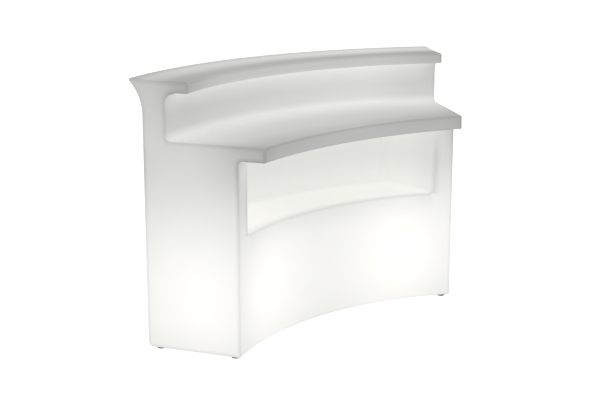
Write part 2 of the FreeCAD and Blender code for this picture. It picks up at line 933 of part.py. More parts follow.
def link_cable():
    """Cable from the terminal box, down and along the hollow's floor, and up into the far holder."""
    reach = math.degrees(math.atan(cable_drop_end / lamp_radius))
    rest_radius = lamp_radius / cos(reach)
    floor_angle = lamp_angle - reach
    box_end = box_offset + box_length / 2 - box_wall
    points = [
        lamp_point(-1, box_end, 0, cable_level),
        lamp_point(-1, cable_drop_start, 0, cable_level),
    ]
    for k in range(cable_floor_points):
        share = 2 * k / (cable_floor_points - 1) - 1
        sag = (rest_radius - lamp_radius) * (1 - share**2)
        points.append(polar(rest_radius - sag, share * floor_angle, cable_floor_level))
    points.append(lamp_point(1, -cable_drop_start, 0, cable_level))
    points.append(lamp_point(1, 0, 0, cable_level))
    points.append(lamp_point(1, 0, 0, holder_floor_height))
    return bent_tube(points, cable_radius)


def lamp_lead():
    """Thin lead from the terminal box to the near lampholder."""
    box_end = box_offset - box_length / 2 + box_wall
    points = [
        lamp_point(-1, box_end, 0, cable_level),
        lamp_point(-1, 0, 0, cable_level),
        lamp_point(-1, 0, 0, holder_floor_height),
    ]
    return bent_tube(points, lead_radius)


def cable_clip():
    """Saddle on the far hatch cover that holds the cable just short of its rise."""
    top = cable_level + cable_radius + clip_wall
    ear_top = cover_top + clip_ear_height
    saddle = block(clip_length, clip_width, cover_top, top)
    saddle = saddle.fuse(block(clip_length, clip_width + 2 * clip_ear, cover_top, ear_top))
    saddle = shifted(saddle, -clip_offset, 0)
    start = Vector(-clip_offset - clip_length, 0, cable_level)
    bore = Part.makeCylinder(cable_radius + seat_clearance, 2 * clip_length, start, Vector(1, 0, 0))
    hole_radius = clip_screw_radius + screw_hole_clearance
    holes = holes_at(clip_screw_spots(), hole_radius, cover_top - overrun, ear_top + overrun)
    return saddle.cut([bore, *holes])


def clip_screws():
    """Screws down through the clip's ears into the cover."""
    one = screw(clip_screw_radius, clip_screw_length, clip_head_radius, clip_head_height)
    return screws_at(clip_screw_spots(), raised(pointing_down(one), cover_top + clip_ear_height))


def hatch_screws():
    one = screw(hatch_screw_radius, hatch_screw_length, hatch_head_radius, hatch_head_height)
    return Part.Compound(round_hatch(raised(one, cover_bottom)))


def bracket_screws():
    one = screw(bracket_screw_radius, bracket_screw_length, bracket_head_radius, bracket_head_height)
    return screws_at(bracket_screw_spots(), raised(one, cover_bottom))


def bracket_nuts():
    one = nut(bracket_nut_flats, bracket_nut_height, bracket_screw_radius + running_clearance)
    return screws_at(bracket_screw_spots(), raised(one, cover_top + strap_thickness))


def nipple_nut():
    one = nut(nipple_nut_flats, nipple_nut_height, nipple_radius + running_clearance)
    return raised(one, shelf_bottom - nipple_nut_height)


def lamp_pieces(side_name):
    """Every piece of one lamp kit, about its own centre."""
    return {
        "hatch_inserts_" + side_name: Part.Compound(round_hatch(hatch_insert())),
        "hatch_gasket_" + side_name: hatch_gasket(),
        "hatch_cover_" + side_name: hatch_cover(side_name == "left"),
        "hatch_screws_" + side_name: hatch_screws(),
        "lamp_bracket_" + side_name: lamp_bracket(),
        "bracket_screws_" + side_name: bracket_screws(),
        "bracket_nuts_" + side_name: bracket_nuts(),
        "holder_nipple_" + side_name: holder_nipple(),
        "nipple_nut_" + side_name: nipple_nut(),
        "holder_body_" + side_name: holder_body(),
        "holder_core_" + side_name: holder_core(),
        "holder_contact_" + side_name: holder_contact(),
        "bulb_cap_" + side_name: bulb_cap(),
        "bulb_collar_" + side_name: bulb_collar(),
        "bulb_globe_" + side_name: bulb_globe(),
    }


def mains_pieces():
    """What only the left hatch cover carries, about that lamp's centre."""
    return {
        "gland_body": shifted(gland_body(), -gland_offset, 0),
        "gland_seal": shifted(gland_seal(), -gland_offset, 0),
        "gland_dome_nut": shifted(gland_dome_nut(), -gland_offset, 0),
        "gland_lock_nut": shifted(gland_lock_nut(), -gland_offset, 0),
        "terminal_box": terminal_box(),
        "terminal_lid": terminal_lid(),
        "terminal_lid_screws": lid_screws(),
        "terminal_box_screws": box_screws(),
        "terminal_block": terminal_block(),
    }


def all_pieces():
    """Every node about the ring's centre, as name: shape."""
    pieces = {"counter_shell": counter_shell()}
    places = foot_places()
    pieces["foot_inserts"] = Part.Compound([at(foot_insert(), *place) for place in places.values()])
    for name, place in places.items():
        pieces["foot_stem_" + name] = at(foot_stem(), *place)
        pieces["foot_pad_" + name] = at(foot_pad(), *place)
    for side, side_name in ((-1, "left"), (1, "right")):
        for name, shape in lamp_pieces(side_name).items():
            pieces[name] = at(shape, lamp_radius, side * lamp_angle)
    for name, shape in mains_pieces().items():
        pieces[name] = at(shape, lamp_radius, -lamp_angle)
    for name, shape in (("cable_clip", cable_clip()), ("clip_screws", clip_screws())):
        pieces[name] = at(shape, lamp_radius, lamp_angle)
    pieces["link_cable"] = link_cable()
    pieces["lamp_lead"] = lamp_lead()
    return pieces


def export(pieces):
    os.makedirs("parts", exist_ok=True)
    outline = pieces["counter_shell"].optimalBoundingBox(False)
    middle = (outline.YMin + outline.YMax) / 2
    print("overall", round(outline.XLength, 2), round(outline.YLength, 2), round(outline.ZMax, 2))
    print("ring centre at y", round(-middle, 3))
    for name, shape in pieces.items():
        shape.translate(Vector(0, -middle, 0))
        bad = [s for s in shape.Solids if not s.isValid()]
        if bad or not shape.Solids:
            print("check", name, len(shape.Solids), "solids,", len(bad), "not valid")
        shape.exportStep("parts/" + name + ".step")
    print("pad travel", foot_travel, "over", foot_travel / thread_pitch, "turns of the stem")
    for name, place in foot_places().items():
        spot = polar(place[0], place[1], 0)
        print(name, "foot at", round(spot.x, 3), round(spot.y - middle, 3))
    for side in (-1, 1):
        spot = polar(lamp_radius, side * lamp_angle, globe_centre_height())
        print("globe centre", round(spot.x, 2), round(spot.y - middle, 2), round(spot.z, 2))


export(all_pieces())
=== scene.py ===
import math
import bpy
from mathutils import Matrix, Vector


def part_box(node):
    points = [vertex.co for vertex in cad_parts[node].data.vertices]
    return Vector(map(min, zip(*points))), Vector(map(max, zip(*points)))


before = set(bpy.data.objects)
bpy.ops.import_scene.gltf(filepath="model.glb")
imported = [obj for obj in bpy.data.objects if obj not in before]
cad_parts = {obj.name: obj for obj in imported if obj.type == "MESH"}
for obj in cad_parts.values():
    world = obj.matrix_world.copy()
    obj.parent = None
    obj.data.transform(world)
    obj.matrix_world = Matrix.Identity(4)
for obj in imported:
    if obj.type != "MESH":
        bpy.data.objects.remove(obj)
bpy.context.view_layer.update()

from types import SimpleNamespace

import bpy
from mathutils import Vector

# An illuminated bar counter of white translucent plastic, seen from the staff side.
# Metres and degrees, in the part's own frame: +Z up, staff side towards -Y.

# The photograph's frame and camera, in pixels
photo_width = 600
photo_height = 400
focal_length_px = 1173.5
optical_axis_row = 160.0

# The camera, from the perspective of the counter's arcs and edges
camera_place = Vector((-3.2683, -3.7425, 1.7498))
camera_yaw = 40.491
camera_pitch = 12.090
sensor_width_mm = 36.0

# The counter's own sizes that the glow follows. Radii are about the ring's centre.
half_angle = 30.0
shell_outer_radius = 1.672
base_inner_radius = 1.215
back_wall_radius = 1.520
outer_wall_radius = 1.618
bar_edge_radius = 1.420
pocket_half_width = 0.535
pocket_floor_fillet = 0.020
underside_height = 0.010
pocket_floor_height = 0.492
worktop_underside = 0.806
worktop_height = 0.865
bar_underside = 1.056
bar_height = 1.100
lip_rise = 0.006
niche_top_fillet = 0.048
niche_floor_fillet = 0.025
overhang_fillet = 0.030
flare_start = 0.955
flare_radius = 0.19
ring_centre_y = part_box("counter_shell")[1].y - shell_outer_radius

# The worktop's front edge is an arc about a point beyond the ring's centre
worktop_edge_setback = 0.612
worktop_edge_radius = 1.663

# The centres of the two glows in the base, straight below the centres of the lamps' globes
lamp_angle = 20.0
lamp_ring_radius = 1.4
lamp_height = 0.234

# Glow is painted light, a share of white, laid on the shell for the lamps' light through the wall; its losses
# are painted shade. Each reach is how far a change of glow spreads, and each tilt is the change of glow per
# metre to the right.
# Where the sum falls below zero, shade is painted into the plastic's grey instead, darker by this factor.
painted_shade_strength = 1.3

# The walls round the lamps
lamp_glow = 0.374
lamp_reach = 0.416
low_wall_glow = 0.384
high_wall_glow = 0.212
wall_fade_start = 0.330
wall_fade_end = 0.837
bar_level_loss = 0.072
bottom_loss = 0.029
bottom_reach = 0.145

# Edges, where the wall turns away from the light
low_end_edge_loss = 0.120
high_end_edge_loss = 0.150
end_edge_relief = 0.065
tip_loss = 0.030
tip_reach = 0.100
end_edge_reach = 0.016
end_face_reach = 0.020
low_long_edge_loss = 0.070
high_long_edge_loss = 0.110
long_edge_reach = 0.013

# The curved walls, the pocket's sill and its upright edges, the jambs
wall_tilt = 0.015
near_end_loss = 0.051
near_end_reach = 0.334
sill_loss = 0.044
sill_reach = 0.119
pocket_edge_loss = 0.111
pocket_edge_reach = 0.026
jamb_top_gain = 0.178
jamb_gain_start = 0.623
jamb_gain_reach = 0.085
jamb_far_share = 0.248

# The flat ends, next to the worktop and the bar
end_soft_loss = 0.015
end_soft_reach = 0.137
end_worktop_loss = 0.210
end_worktop_front = 1.087
end_worktop_start = 0.568
end_worktop_full = 0.864
end_worktop_radius = 1.440
end_niche_loss = 0.161
end_niche_radius = 1.594

# The pocket
pocket_front_glow = 0.394
pocket_floor_glow = 0.534
pocket_floor_reach = 0.062
pocket_back_loss = 0.049
pocket_tilt = -0.071
pocket_middle_loss = 0.030
pocket_middle_reach = 0.345
pocket_side_loss = 0.056
pocket_side_reach = 0.156
pocket_low_wall_glow = 0.444
pocket_high_wall_glow = 0.384
pocket_top_gain = 0.070

# The worktop
worktop_edge_glow = 0.094
worktop_front_glow = 0.191
worktop_back_gain = 0.178
worktop_front_reach = 0.200
worktop_back_start = 1.238
worktop_end_loss = 0.034
worktop_end_reach = 0.100
worktop_corner_loss = 0.063
worktop_corner_reach = 0.602
worktop_corner_depth = 0.255
worktop_fascia_share = 0.471

# The niche's wall
niche_glow = 0.266
niche_foot_gain = 0.125
niche_foot_reach = 0.042
niche_top_gain = 0.210
niche_top_reach = 0.116
niche_left_end_loss = 0.013
niche_right_end_loss = 0.111
niche_end_reach = 0.391
niche_tilt = 0.078
niche_corner_loss = 0.125
niche_corner_reach = 0.098

# The bar top
bar_front_glow = 0.003
bar_crown_glow = 0.235
bar_rise_start = 1.457
bar_rise_end = 1.611
bar_lip_loss = 0.118
bar_fascia_glow = 0.161
bar_fascia_low_gain = 0.060
bar_fascia_reach = 0.014
bar_end_loss = 0.064
bar_end_reach = 0.370
bar_tilt = 0.083
bar_corner_loss = 0.046
bar_corner_reach = 0.194
bar_corner_depth = 0.090

# The shell's plastic. Its clouds and flecks vary the glow, and the scales are per metre.
# The black towards which painted shade darkens the plastic's grey
painted_shade_black = (0.0, 0.0, 0.0)
shell_grey = (0.5, 0.503, 0.49)
shell_roughness = 0.7
shell_specular = 0.15
cloud_scale = 9.0
cloud_depth = 0.05
fleck_scale = 60.0
fleck_depth = 0.02
dim_glow_tint = (1.0, 1.0, 0.972)
bright_glow_tint = (1.0, 0.978, 0.935)
bright_tint_start = 0.3
bright_tint_end = 0.7
fine_skin_scale = 260.0
coarse_skin_scale = 40.0
skin_height = 0.0004
skin_strength = 0.25

# The finishes of the small parts. Stretched scales are for X, Y and Z, each per metre.
noise_detail = 2.0
small_bump_strength = 0.3
grains_per_cloud = 12
plastic_dullness_depth = 0.1
plastic_dullness_drop = 0.05
turned_line_scales = (60.0, 60.0, 4000.0)
turned_line_height = 0.00005
turned_dullness_depth = 0.15
turned_dullness_drop = 0.05
tarnish_scale = 90.0
crystal_scale = 220.0
crystal_height = 0.00004
crystal_strength = 0.25
crystal_dullness_depth = 0.12
scratch_scales = (2500.0, 60.0, 60.0)
scratch_share = 0.3
scratch_dullness_depth = 0.1
ceramic_white = (0.78, 0.76, 0.70)
ceramic_speck = (0.45, 0.42, 0.37)
ceramic_roughness = 0.65
speck_scale = 900.0
speck_start = 0.9
speck_end = 0.97
ceramic_grain_scale = 1400.0
ceramic_grain_height = 0.0001
globe_white = (0.9, 0.89, 0.84)
globe_light = (1.0, 0.96, 0.88)
globe_roughness = 0.15
globe_low_glow = 0.8
globe_crown_glow = 1.0
globe_cloud_scale = 30.0
globe_cloud_depth = 0.05

# Light on the object and the floor
world_light = 0.7
seen_floor_light = 0.6
floor_size = 60.0
floor_grey = 0.75
floor_roughness = 0.9
white = (1.0, 1.0, 1.0)
key_place = (-2.5, -3.0, 4.0)
key_target = (0.0, 0.0, 0.6)
key_width = 3.0
key_watts = 60.0

# A mask's soft border, and the distance that a smooth maximum needs for a rounding of radius 1
mask_softness = 0.002
smooth_distance = 1.76


def sin(angle):
    return math.sin(math.radians(angle))


def cos(angle):
    return math.cos(math.radians(angle))


def make_camera():
    data = bpy.data.cameras.new("camera")
    data.sensor_width = sensor_width_mm
    data.lens = focal_length_px / photo_width * sensor_width_mm
    data.shift_y = (optical_axis_row - photo_height / 2) / photo_width
    camera = bpy.data.objects.new("camera", data)
    yaw, pitch = camera_yaw, camera_pitch
    ahead = Vector((sin(yaw) * cos(pitch), cos(yaw) * cos(pitch), -sin(pitch)))
    camera.location = camera_place
    camera.rotation_mode = "QUATERNION"
    camera.rotation_quaternion = ahead.to_track_quat("-Z", "Y")
    bpy.context.scene.collection.objects.link(camera)
    bpy.context.scene.camera = camera


class Num:
    """A number that varies over a surface: a node socket with arithmetic."""

    def __init__(self, tree, socket):
        self.tree = tree
        self.socket = socket

    def then(self, operation, *others):
        node = self.tree.nodes.new("ShaderNodeMath")
        node.operation = operation
        for slot, value in zip(node.inputs, (self, *others)):
            if isinstance(value, Num):
                self.tree.links.new(value.socket, slot)
            else:
                slot.default_value = value
        return Num(self.tree, node.outputs[0])

    def __add__(self, other):
        return self.then("ADD", other)

    def __radd__(self, other):
        return self.then("ADD", other)

    def __sub__(self, other):
        return self.then("SUBTRACT", other)

    def __rsub__(self, other):
        return (self * -1) + other

    def __mul__(self, other):
        return self.then("MULTIPLY", other)

    def __truediv__(self, other):
        return self.then("DIVIDE", other)

    def __pow__(self, power):
        return self.then("POWER", power)

    def least(self, other):
        return self.then("MINIMUM", other)

    def most(self, other):
        return self.then("MAXIMUM", other)

    def rounded_most(self, other, radius):
        """The larger number, which rounds a corner of an outline to about this radius."""
        return self.then("SMOOTH_MAX", other, smooth_distance * radius)

    def size(self):
        return self.then("ABSOLUTE")

    def ramp(self, start, end, first=0.0, last=1.0):
        """A smooth change from one value to another while this number goes from start to end."""
        node = self.tree.nodes.new("ShaderNodeMapRange")
        node.interpolation_type = "SMOOTHSTEP"
        if start > end:
            start, end, first, last = end, start, last, first
        for slot, value in zip(node.inputs, (self, start, end, first, last)):
            if isinstance(value, Num):
                self.tree.links.new(value.socket, slot)
            else:
                slot.default_value = value
        return Num(self.tree, node.outputs[0])

    def within(self, low, high):
        """1 between two values and 0 outside them, with a soft change just outside."""
        return self.ramp(low - mask_softness, low) * self.ramp(high, high + mask_softness, 1.0, 0.0)


def length(*parts):
    """The length of a vector of numbers."""
    return sum(part * part for part in parts) ** 0.5


def mixed(first, second, share):
    """The first number where the share is 0, the second where it is 1."""
    return share * (second - first) + first


def new_material(name):
    material = bpy.data.materials.new(name)
    material.use_nodes = True
    tree = material.node_tree
    shader = tree.nodes["Principled BSDF"]
    return material, tree, shader


def surface_place(tree):
    """The socket with the place of the point being shaded, in the part's frame."""
    return tree.nodes.new("ShaderNodeTexCoord").outputs["Object"]


def coordinates(tree, place):
    """The three coordinates of a place, as numbers."""
    split = tree.nodes.new("ShaderNodeSeparateXYZ")
    tree.links.new(place, split.inputs[0])
    return [Num(tree, out) for out in split.outputs]


def stretched(tree, place, scales):
    """The place, scaled by direction, so that a noise on it becomes lines across the largest scale."""
    node = tree.nodes.new("ShaderNodeMapping")
    node.inputs["Scale"].default_value = scales
    tree.links.new(place, node.inputs["Vector"])
    return node.outputs["Vector"]


def noise(tree, place, scale=1.0):
    """Smooth noise about one half."""
    node = tree.nodes.new("ShaderNodeTexNoise")
    node.inputs["Scale"].default_value = scale
    node.inputs["Detail"].default_value = noise_detail
    tree.links.new(place, node.inputs["Vector"])
    return Num(tree, node.outputs["Fac"])


def crystals(tree, place, scale):
    """A different number for each cell of a pattern of crystals."""
    node = tree.nodes.new("ShaderNodeTexVoronoi")
    node.inputs["Scale"].default_value = scale
    tree.links.new(place, node.inputs["Vector"])
    split = tree.nodes.new("ShaderNodeSeparateColor")
    tree.links.new(node.outputs["Color"], split.inputs[0])
    return Num(tree, split.outputs[0])


def set_bump(tree, shader, height, distance, strength):
    node = tree.nodes.new("ShaderNodeBump")
    node.inputs["Distance"].default_value = distance
    node.inputs["Strength"].default_value = strength
    tree.links.new(height.socket, node.inputs["Height"])
    tree.links.new(node.outputs["Normal"], shader.inputs["Normal"])


def shade_between(tree, first, second, amount, target):
    """Drives a colour socket from one colour to another by an amount from 0 to 1."""
    mix = tree.nodes.new("ShaderNodeMix")
    mix.data_type = "RGBA"
    ends = [slot for slot in mix.inputs if slot.type == "RGBA"]
    ends[0].default_value = (*first, 1)
    ends[1].default_value = (*second, 1)
    tree.links.new(amount.socket, mix.inputs[0])
    result = [slot for slot in mix.outputs if slot.type == "RGBA"][0]
    tree.links.new(result, target)


def shell_place(point):
    """Where a point of the shell lies, in the measures that the glow follows."""
    x, y, height = point
    along = y - ring_centre_y
    return SimpleNamespace(
        height=height,
        across=x,
        along=along,
        aside=x.size(),
        radius=length(x, along),
        from_end=along * sin(half_angle) - x.size() * cos(half_angle),
        from_front=length(x, along + worktop_edge_setback) - worktop_edge_radius,
    )


def lamp_light(at):
    """Light from the two lamps, which fades with the distance from the centres of their glows."""
    total = 0.0
    for side in (-1, 1):
        across = at.across - side * lamp_ring_radius * sin(lamp_angle)
        along = at.along - lamp_ring_radius * cos(lamp_angle)
        distance = length(across, along, at.height - lamp_height)
        total = ((distance / lamp_reach) ** 2.0 + 1.0) ** -2.0 + total
    return total


def from_outline(at):
    """How far a point of a flat end lies inside the counter's outline."""
    base = (at.radius - base_inner_radius).least(at.height - underside_height)
    worktop = at.from_front.least(at.height - worktop_underside)
    bar = (at.height - bar_underside).least(at.radius - bar_edge_radius)
    niche = (at.radius - back_wall_radius).rounded_most(bar, niche_top_fillet)
    niche = niche.rounded_most(worktop_height - at.height, niche_floor_fillet)
    flare = (at.height - flare_start).most(0.0) ** 2.0 / (2 * flare_radius)
    rear = flare + outer_wall_radius - at.radius
    top = at.radius.ramp(bar_rise_end, shell_outer_radius, bar_height, bar_height + lip_rise) - at.height
    front = base.rounded_most(worktop, overhang_fillet)
    return front.least(niche).least(rear).least(top)


def over_pocket(at):
    """1 across the pocket's width and 0 beside it. The sill ends softly, at the rounded lower corners."""
    return at.aside.ramp(pocket_half_width - pocket_floor_fillet, pocket_half_width, 1.0, 0.0)


def beside_pocket(at):
    """The distance to the pocket's upright front edges, or at least 1 above and below them."""
    upright = at.height.within(pocket_floor_height, worktop_underside)
    return length(at.radius - base_inner_radius, at.aside - pocket_half_width) + 1 - upright


def from_long_edge(at):
    """The distance to the nearest of the edges that run along the counter."""
    edges = [
        length(at.radius - base_inner_radius, at.height - underside_height),
        length(at.radius - outer_wall_radius, at.height - underside_height),
        length(at.radius - base_inner_radius, at.height - pocket_floor_height) + 1 - over_pocket(at),
        length(at.from_front, at.height - worktop_height),
        length(at.radius - bar_edge_radius, at.height - bar_height),
        length(at.radius - shell_outer_radius, at.height - bar_height - lip_rise),
    ]
    nearest = edges[0]
    for edge in edges[1:]:
        nearest = nearest.least(edge)
    return nearest


def end_edge_loss(at):
    """How much the ends' edges darken: most below the worktop, less above it, more at the front tips."""
    loss = at.height.ramp(pocket_floor_height, worktop_underside, low_end_edge_loss, high_end_edge_loss)
    loss = loss - at.height.ramp(worktop_underside, worktop_height, 0.0, end_edge_relief)
    bar_level = at.height.ramp(worktop_height, bar_underside)
    from_tip = mixed(at.from_front, at.radius - bar_edge_radius, bar_level)
    return loss + from_tip.ramp(0.0, tip_reach, tip_loss, 0.0)


def wall_glow(at):
    """The walls around the lamps, brightest beside them and fading upwards."""
    glow = at.height.ramp(wall_fade_start, wall_fade_end, low_wall_glow, high_wall_glow)
    glow = glow - at.height.ramp(wall_fade_end, bar_height, 0.0, bar_level_loss)
    glow = glow - at.height.ramp(0.0, bottom_reach, bottom_loss, 0.0)
    return glow + lamp_light(at) * lamp_glow


def front_glow(at):
    """The curved walls, which darken towards the ends and along the pocket's sill."""
    sill = length(at.radius - base_inner_radius, at.height - pocket_floor_height)
    glow = wall_glow(at) + at.across * wall_tilt - at.from_end.ramp(0.0, near_end_reach, near_end_loss, 0.0)
    jamb = at.radius.ramp(base_inner_radius, base_inner_radius + long_edge_reach, 1.0, 0.0)
    jamb = jamb * at.height.ramp(jamb_gain_start, worktop_underside, 0.0, jamb_top_gain)
    jamb = jamb * (at.aside - pocket_half_width).ramp(0.0, jamb_gain_reach, 1.0, jamb_far_share)
    return glow + jamb - sill.ramp(0.0, sill_reach, sill_loss, 0.0) * over_pocket(at)


def end_glow(at):
    """The flat ends, which darken towards the worktop, the bar and their own edges."""
    worktop = at.height.ramp(end_worktop_start, end_worktop_full)
    worktop = worktop * at.radius.ramp(end_worktop_front, end_worktop_radius, end_worktop_loss, 0.0)
    bar = at.height.ramp(worktop_underside, bar_underside)
    bar = bar * at.radius.ramp(bar_edge_radius, end_niche_radius, end_niche_loss, 0.0)
    inside = from_outline(at)
    edge = inside.ramp(0.0, end_face_reach, 1.0, 0.0) * end_edge_loss(at)
    edge = edge + inside.ramp(0.0, end_soft_reach, end_soft_loss, 0.0)
    return wall_glow(at) - worktop - bar - edge


def pocket_glow(at):
    """The pocket's floor and walls, over the lamps."""
    from_mouth = at.radius - base_inner_radius
    to_back = back_wall_radius - at.radius
    floor = from_mouth.ramp(0.0, pocket_floor_reach, pocket_front_glow, pocket_floor_glow)
    floor = floor - to_back.ramp(0.0, pocket_floor_reach, pocket_back_loss, 0.0)
    floor = floor - at.aside.ramp(0.0, pocket_middle_reach, pocket_middle_loss, 0.0)
    floor = floor + at.across * pocket_tilt
    middle = (pocket_floor_height + worktop_underside) / 2
    wall = at.height.ramp(pocket_floor_height, middle, pocket_low_wall_glow, pocket_high_wall_glow)
    wall = wall + at.height.ramp(middle, worktop_underside, 0.0, pocket_top_gain)
    wall = wall - from_mouth.ramp(0.0, pocket_side_reach, pocket_side_loss, 0.0)
    above_floor = at.height - pocket_floor_height
    return mixed(floor, wall, above_floor.ramp(0.0, end_edge_reach))


def worktop_glow(at):
    """The worktop, dim at its front edge, which is far from the lamps, and brighter at its back."""
    glow = at.from_front.ramp(0.0, worktop_front_reach, worktop_edge_glow, worktop_front_glow)
    glow = glow + at.radius.ramp(worktop_back_start, back_wall_radius, 0.0, worktop_back_gain)
    corner = at.from_front.ramp(0.0, worktop_corner_depth, worktop_corner_loss, 0.0)
    corner = corner * at.height.ramp(worktop_underside, worktop_height, worktop_fascia_share, 1.0)
    glow = glow - corner * at.from_end.ramp(0.0, worktop_corner_reach, 1.0, 0.0)
    return glow - at.from_end.ramp(0.0, worktop_end_reach, worktop_end_loss, 0.0)


def niche_wall_glow(at):
    """The niche's wall, brighter where it curves into the worktop and up to the bar."""
    glow = at.height.ramp(worktop_height, worktop_height + niche_foot_reach, niche_foot_gain, 0.0)
    glow = glow + at.height.ramp(bar_underside - niche_top_reach, bar_underside, 0.0, niche_top_gain)
    # Painted shadow of the bar's overhang, in the niche's upper corners near the ends.
    corner = at.from_end.ramp(0.0, niche_corner_reach, niche_corner_loss, 0.0)
    glow = glow - corner * at.height.ramp(worktop_height + niche_foot_reach, bar_underside)
    glow = glow + niche_glow + at.across * niche_tilt
    side = at.across.ramp(-pocket_half_width, pocket_half_width)
    end_loss = mixed(niche_left_end_loss, niche_right_end_loss, side)
    return glow - at.from_end.ramp(0.0, niche_end_reach, 1.0, 0.0) * end_loss


def bar_glow(at):
    """The bar, dim over its front edge and bright on top of the wall that carries it."""
    top = at.radius.ramp(bar_rise_start, bar_rise_end, bar_front_glow, bar_crown_glow)
    top = top - at.radius.ramp(bar_rise_end, shell_outer_radius, 0.0, bar_lip_loss)
    top = top + at.across * at.radius.ramp(bar_rise_start, bar_rise_end, 0.0, bar_tilt)
    fascia = at.height.ramp(bar_underside, bar_underside + bar_fascia_reach, bar_fascia_low_gain, 0.0)
    fascia = fascia + bar_fascia_glow
    on_fascia = at.radius.ramp(bar_edge_radius, bar_edge_radius + bar_fascia_reach, 1.0, 0.0)
    glow = mixed(top, fascia, on_fascia)
    corner = (at.radius - bar_edge_radius).ramp(0.0, bar_corner_depth, bar_corner_loss, 0.0)
    glow = glow - corner * at.from_end.ramp(0.0, bar_corner_reach, 1.0, 0.0)
    return glow - at.from_end.ramp(0.0, bar_end_reach, bar_end_loss, 0.0)


def shell_glow(at):
    """The glow of the whole shell, part by part."""
    soft = long_edge_reach
    hollow = at.radius.within(base_inner_radius + mask_softness, back_wall_radius + soft)
    pocket = hollow * at.height.within(pocket_floor_height, worktop_underside)
    pocket = pocket * at.aside.within(-pocket_half_width, pocket_half_width)
    staff_side = at.radius.ramp(back_wall_radius + soft, outer_wall_radius - soft, 1.0, 0.0)
    worktop = staff_side * at.height.ramp(worktop_underside - mask_softness, worktop_underside)
    niche = staff_side * at.height.ramp(worktop_height, worktop_height + soft)
    bar = at.height.ramp(bar_underside - soft, bar_underside)
    glow = mixed(front_glow(at), pocket_glow(at), pocket)
    glow = mixed(glow, worktop_glow(at), worktop)
    glow = mixed(glow, niche_wall_glow(at), niche)
    glow = mixed(glow, bar_glow(at), bar)
    upper = at.height.ramp(pocket_floor_height, worktop_underside)
    long_edge = mixed(low_long_edge_loss, high_long_edge_loss, upper)
    long_edge = from_long_edge(at).ramp(0.0, long_edge_reach, 1.0, 0.0) * long_edge
    upright = beside_pocket(at).ramp(0.0, pocket_edge_reach, pocket_edge_loss, 0.0)
    glow = glow - upright * at.height.ramp(jamb_gain_start, worktop_underside, 1.0, 0.0)
    end_edge = at.from_end.ramp(0.0, end_edge_reach, 1.0, 0.0) * end_edge_loss(at)
    glow = glow - end_edge.most(long_edge)
    return mixed(glow, end_glow(at), at.from_end.ramp(0.0, mask_softness, 1.0, 0.0))


def shell_material():
    """Moulded translucent plastic. Half of the light goes into the wall, so its own colour is a mid grey."""
    material, tree, shader = new_material("shell_white_finish")
    place = surface_place(tree)
    unevenness = noise(tree, place, cloud_scale) * cloud_depth + noise(tree, place, fleck_scale) * fleck_depth
    unevenness = unevenness - (cloud_depth + fleck_depth) / 2
    # The glow is painted light: emission set by the place on the shell, with painted shade at its edges,
    # corners and ends.
    glow = shell_glow(shell_place(coordinates(tree, place))) * (unevenness + 1.0)
    # Painted shade: where the glow is below zero, the plastic's grey is darkened towards black.
    painted_shade_lightness = glow.least(0.0) * painted_shade_strength + 1.0
    shade_between(tree, painted_shade_black, shell_grey, painted_shade_lightness, shader.inputs["Base Color"])
    shader.inputs["Roughness"].default_value = shell_roughness
    shader.inputs["Specular IOR Level"].default_value = shell_specular
    brightness = glow.ramp(bright_tint_start, bright_tint_end)
    shade_between(tree, dim_glow_tint, bright_glow_tint, brightness, shader.inputs["Emission Color"])
    tree.links.new(glow.most(0.0).socket, shader.inputs["Emission Strength"])
    skin = noise(tree, place, fine_skin_scale) + noise(tree, place, coarse_skin_scale)
    set_bump(tree, shader, skin, skin_height, skin_strength)
    material.cycles.emission_sampling = "NONE"
    return material


def plastic(name, dark, light, roughness, grain_scale, grain_height):
    """Moulded plastic or rubber: a fine grain, and a colour that varies a little with it."""
    material, tree, shader = new_material(name)
    place = surface_place(tree)
    grain = noise(tree, place, grain_scale)
    cloud = noise(tree, place, grain_scale / grains_per_cloud)
    shade_between(tree, dark, light, (grain + cloud) / 2, shader.inputs["Base Color"])
    dullness = cloud * plastic_dullness_depth + (roughness - plastic_dullness_drop)
    tree.links.new(dullness.socket, shader.inputs["Roughness"])
    set_bump(tree, shader, grain, grain_height, small_bump_strength)
    return material


def turned_metal(name, dark, light, roughness):
    """Machined or plated metal: fine lines around the piece, and a duller or brighter tone in places."""
    material, tree, shader = new_material(name)
    place = surface_place(tree)
    lines = noise(tree, stretched(tree, place, turned_line_scales))
    tarnish = noise(tree, place, tarnish_scale)
    shade_between(tree, dark, light, tarnish, shader.inputs["Base Color"])
    shader.inputs["Metallic"].default_value = 1.0
    dullness = lines * turned_dullness_depth + (roughness - turned_dullness_drop)
    tree.links.new(dullness.socket, shader.inputs["Roughness"])
    set_bump(tree, shader, lines, turned_line_height, small_bump_strength)
    return material


def spangled_steel(name, dark, light, roughness):
    """Galvanised sheet: a pattern of zinc crystals, each with its own tone and dullness."""
    material, tree, shader = new_material(name)
    place = surface_place(tree)
    crystal = crystals(tree, place, crystal_scale)
    scratch = noise(tree, stretched(tree, place, scratch_scales))
    shade_between(tree, dark, light, crystal, shader.inputs["Base Color"])
    shader.inputs["Metallic"].default_value = 1.0
    dullness = crystal * crystal_dullness_depth + scratch * scratch_dullness_depth + roughness
    tree.links.new(dullness.socket, shader.inputs["Roughness"])
    set_bump(tree, shader, crystal + scratch * scratch_share, crystal_height, crystal_strength)
    return material


def fired_ceramic():
    """Unglazed white ceramic with fine dark specks."""
    material, tree, shader = new_material("ceramic_white_finish")
    place = surface_place(tree)
    specks = crystals(tree, place, speck_scale).ramp(speck_start, speck_end)
    shade_between(tree, ceramic_white, ceramic_speck, specks, shader.inputs["Base Color"])
    shader.inputs["Roughness"].default_value = ceramic_roughness
    grain = noise(tree, place, ceramic_grain_scale)
    set_bump(tree, shader, grain, ceramic_grain_height, small_bump_strength)
    return material


